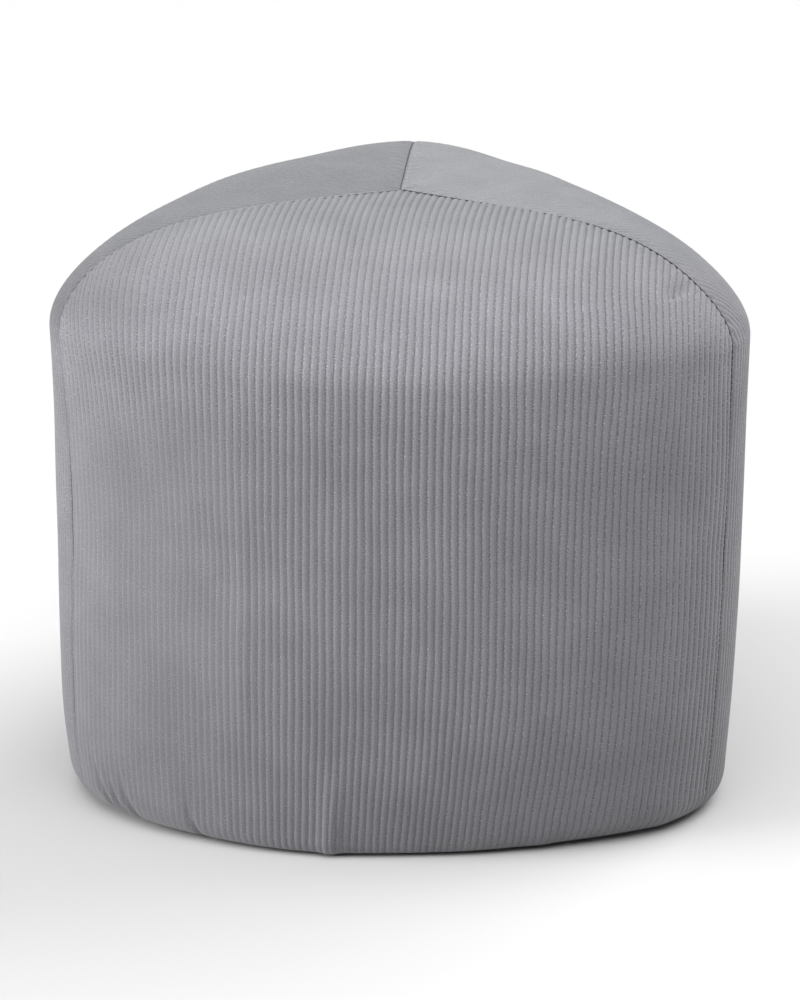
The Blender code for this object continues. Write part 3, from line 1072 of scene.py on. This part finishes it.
@dataclass
class SeamStitches:
    """The stitches that lie in the three seams, laid along each seam by Geometry Nodes."""

    finish: ThreadFinish
    pitch: float = 0.0042
    length: float = 0.003
    thread: float = 0.0004
    thread_sides: int = 8
    thread_rings: int = 3
    smallest: Triple = (0.85, 0.85, 0.85)
    largest: Triple = (1.1, 1.1, 1.1)
    lift: float = 0.0003
    lift_turns: Span = (0.33, 0.40)
    foot_clear: float = 0.02
    seed: int = 5

    def path(self, panel: CordPanel) -> Array:
        """Line along a panel's left seam, from the middle of the top down to the foot."""
        middle = panel.seam_line[panel.seam_line[:, 2] > self.foot_clear]
        outward = middle * np.array([1.0, 1.0, 0.0])
        outward /= np.maximum(np.linalg.norm(outward, axis=1, keepdims=True), TINY)
        upward = smooth(middle[:, 2], *self.lift_turns)[:, None]
        away = outward * (1.0 - upward) + np.array([0.0, 0.0, 1.0]) * upward
        return middle + away * self.lift

    def group(self, material: Material) -> NodeTree:
        """Make the node group that lays stitches along a line.

        Args:
            material: What the stitches are made of.

        Returns:
            A group with inputs for the line, the pitch and the stitch's size.
        """
        sockets = {"Line": "Geometry", "Pitch": "Float", "Stitch Length": "Float", "Thread Radius": "Float"}
        tree, kit, (start, end) = new_group("lay_stitches", sockets | {"Seed": "Int"}, "Stitches")
        curve = kit.add("GeometryNodeMeshToCurve", {"Mesh": (start, "Line")})
        pitch = {"Curve": (curve, "Curve"), "Length": (start, "Pitch")}
        even = kit.add("GeometryNodeResampleCurve", pitch, mode="LENGTH")
        sizes = {"Vertices": self.thread_sides, "Side Segments": self.thread_rings,
                 "Radius": (start, "Thread Radius"), "Depth": (start, "Stitch Length")}
        stitch = kit.add("GeometryNodeMeshCylinder", sizes, fill_type="TRIANGLE_FAN")
        tangent = kit.add("GeometryNodeInputTangent")
        turn = kit.add("FunctionNodeAlignRotationToVector", {"Vector": (tangent, "Tangent")}, axis="Z")
        limits = {0: self.smallest, 1: self.largest, "Seed": (start, "Seed")}
        vary = kit.add("FunctionNodeRandomValue", limits, data_type="FLOAT_VECTOR")
        laid = {"Points": (even, "Curve"), "Instance": (stitch, "Mesh"), "Rotation": (turn, "Rotation")}
        each = kit.add("GeometryNodeInstanceOnPoints", laid | {"Scale": (vary, 0)})
        finish_group(kit, (each, "Instances"), material, (end, "Stitches"))
        return tree

    def build(self, panels: list[CordPanel]) -> list[Object]:
        """Lay the stitches of every seam.

        Args:
            panels: The built panels, which hold their seam lines.

        Returns:
            One object for each seam.
        """
        material = self.finish.build()
        group = self.group(material)
        values = {"Pitch": self.pitch, "Stitch Length": self.length, "Thread Radius": self.thread}
        made = []
        for panel in panels:
            line = self.path(panel)
            mesh = bpy.data.meshes.new("seam_line")
            mesh.from_pydata(line.tolist(), [(i, i + 1) for i in range(len(line) - 1)], [])
            item = add_object(f"stitches_{panel.panel.node}", mesh)
            run_group(item, group, values | {"Seed": self.seed})
            item.data.shade_smooth()
            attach(item, "root")
            made.append(item)
        return made


@dataclass
class BaseCloth:
    """The flat cloth that closes the underside."""

    shape: PoufShape
    finish: WeaveFinish
    clearance: float = 0.00025
    edge_points: int = 96

    def build(self) -> Object:
        """Build the cloth as one thin closed sheet.

        Returns:
            The cloth's object.
        """
        angles = self.shape.even_angles(np.arange(self.edge_points) / self.edge_points)
        r = self.shape.foot_end(angles) - FOOT_RING - self.clearance
        third = placed(r, angles, np.zeros_like(r))
        outline = np.concatenate([turned(third, 2.0 * HALF_PANEL * k) for k in range(SIDES)])
        count = len(outline)
        points = np.concatenate([outline, outline + np.array([0.0, 0.0, BASE_THICKNESS])])
        points = settled(points, SETTLED)
        faces = [list(range(count))[::-1], list(range(count, 2 * count))]
        for k in range(count):
            after = (k + 1) % count
            faces.append([k, after, after + count, k + count])
        mesh = bpy.data.meshes.new("cloth_base")
        mesh.from_pydata(points.tolist(), [], faces)
        mesh.materials.append(self.finish.build())
        item = add_object("cloth_base", mesh)
        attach(item, "root")
        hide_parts("base_panel")
        return item


@dataclass(frozen=True)
class SoftLight:
    """One far, soft light. toward points from the pouf to the light."""

    name: str
    toward: Triple
    strength: float
    softness: float

    def build(self) -> Object:
        """Put the light in the scene."""
        data = bpy.data.lights.new(self.name, "SUN")
        data.energy = self.strength
        data.angle = math.radians(self.softness)
        item = add_object(self.name, data)
        item.location = self.toward
        item.rotation_mode = "QUATERNION"
        item.rotation_quaternion = (-Vector(self.toward)).to_track_quat("-Z", "Y")
        return item


@dataclass
class Studio:
    """Pale floor, soft light and the camera."""

    floor_finish: FloorFinish
    floor_size: float = 30.0
    floor_drop: float = 0.0005
    sky: float = 0.10
    azimuth: float = 3.3
    elevation: float = 18.93
    distance: float = 2.441
    aim: Triple = (0.0, 0.0, 0.1895)
    focal_pixels: float = 3382.0
    long_side_pixels: float = 1000.0
    sensor: float = 36.0
    lights: tuple[SoftLight, ...] = (
        SoftLight("top_light", (0.0, -0.55, 2.0), 2.45, 60.0),
        SoftLight("left_light", (-1.76, -0.48, 0.75), 2.35, 32.0),
        SoftLight("right_light", (1.4, 1.0, 1.65), 1.84, 40.0),
    )

    def build(self) -> list[Object]:
        """Build the studio and point the camera at the pouf.

        Returns:
            The floor, the lights and the camera.
        """
        half = 0.5 * self.floor_size
        mesh = bpy.data.meshes.new("floor")
        corners = ((-half, -half), (half, -half), (half, half), (-half, half))
        mesh.from_pydata([(x, y, -self.floor_drop) for x, y in corners], [], [(0, 1, 2, 3)])
        mesh.materials.append(self.floor_finish.build())
        floor = add_object("floor", mesh)

        world = bpy.data.worlds.new("studio")
        bpy.context.scene.world = world
        world.use_nodes = True
        background = world.node_tree.nodes["Background"]
        background.inputs["Color"].default_value = (*WHITE, 1.0)
        background.inputs["Strength"].default_value = self.sky

        aim = Vector(self.aim)
        made = [floor] + [light.build() for light in self.lights]
        data = bpy.data.cameras.new("camera")
        data.sensor_width = self.sensor
        data.lens = self.focal_pixels * self.sensor / self.long_side_pixels
        camera = add_object("camera", data)
        a, e = math.radians(self.azimuth), math.radians(self.elevation)
        back = Vector((math.sin(a) * math.cos(e), -math.cos(a) * math.cos(e), math.sin(e)))
        camera.location = aim + back * self.distance
        camera.rotation_mode = "QUATERNION"
        camera.rotation_quaternion = (-back).to_track_quat("-Z", "Y")
        bpy.context.scene.camera = camera
        bpy.context.scene.view_settings.view_transform = "Standard"
        return made + [camera]


FIRST_SEED = 3
# What the front panel's cloth has of its own.
FRONT_CLOTH = {
    "shape": PoufShape(dome_power_middle=3.2, shoulder_rise_middle=0.023, shoulder_round_middle=0.015),
    "folds": FRONT_FOLDS,
    "drifts": SHOULDER_DRIFTS + (FOOT_DRIFT,),
    "skew": math.radians(3.0),
    "brushed": 0.60,
    "rib_raise": 0.0009,
    "rib_left_at_seam": 0.85,
    "rib_left_on_top": 1.0,
    "seam_depth": 0.0012,
    "slack": 0.001,
}
THREAD = ThreadFinish("thread", (0.11, 0.108, 0.118))
BASE_WEAVE = WeaveFinish("base_weave", (0.05, 0.05, 0.054))
PALE_FLOOR = FloorFinish("floor_pale", (0.655, 0.655, 0.655))


def main() -> None:
    """Build the pouf and its studio, and report each piece."""
    logging.basicConfig(level=logging.INFO, format="%(name)s: %(message)s")
    pieces, panels = [], []
    for number, panel in enumerate(Panel):
        own = FRONT_CLOTH if panel is Panel.FRONT else {}
        panels.append(CordPanel(panel, FIRST_SEED + number, **own))
        pieces.append(panels[-1].build())
    pieces += SeamStitches(THREAD).build(panels)
    pieces.append(BaseCloth(PoufShape(), BASE_WEAVE).build())
    for item in pieces:
        LOG.info("%s: %d faces", item.name, len(item.data.polygons))
    for item in Studio(PALE_FLOOR).build():
        LOG.info("studio: %s", item.name)


if __name__ == "__main__":
    main()
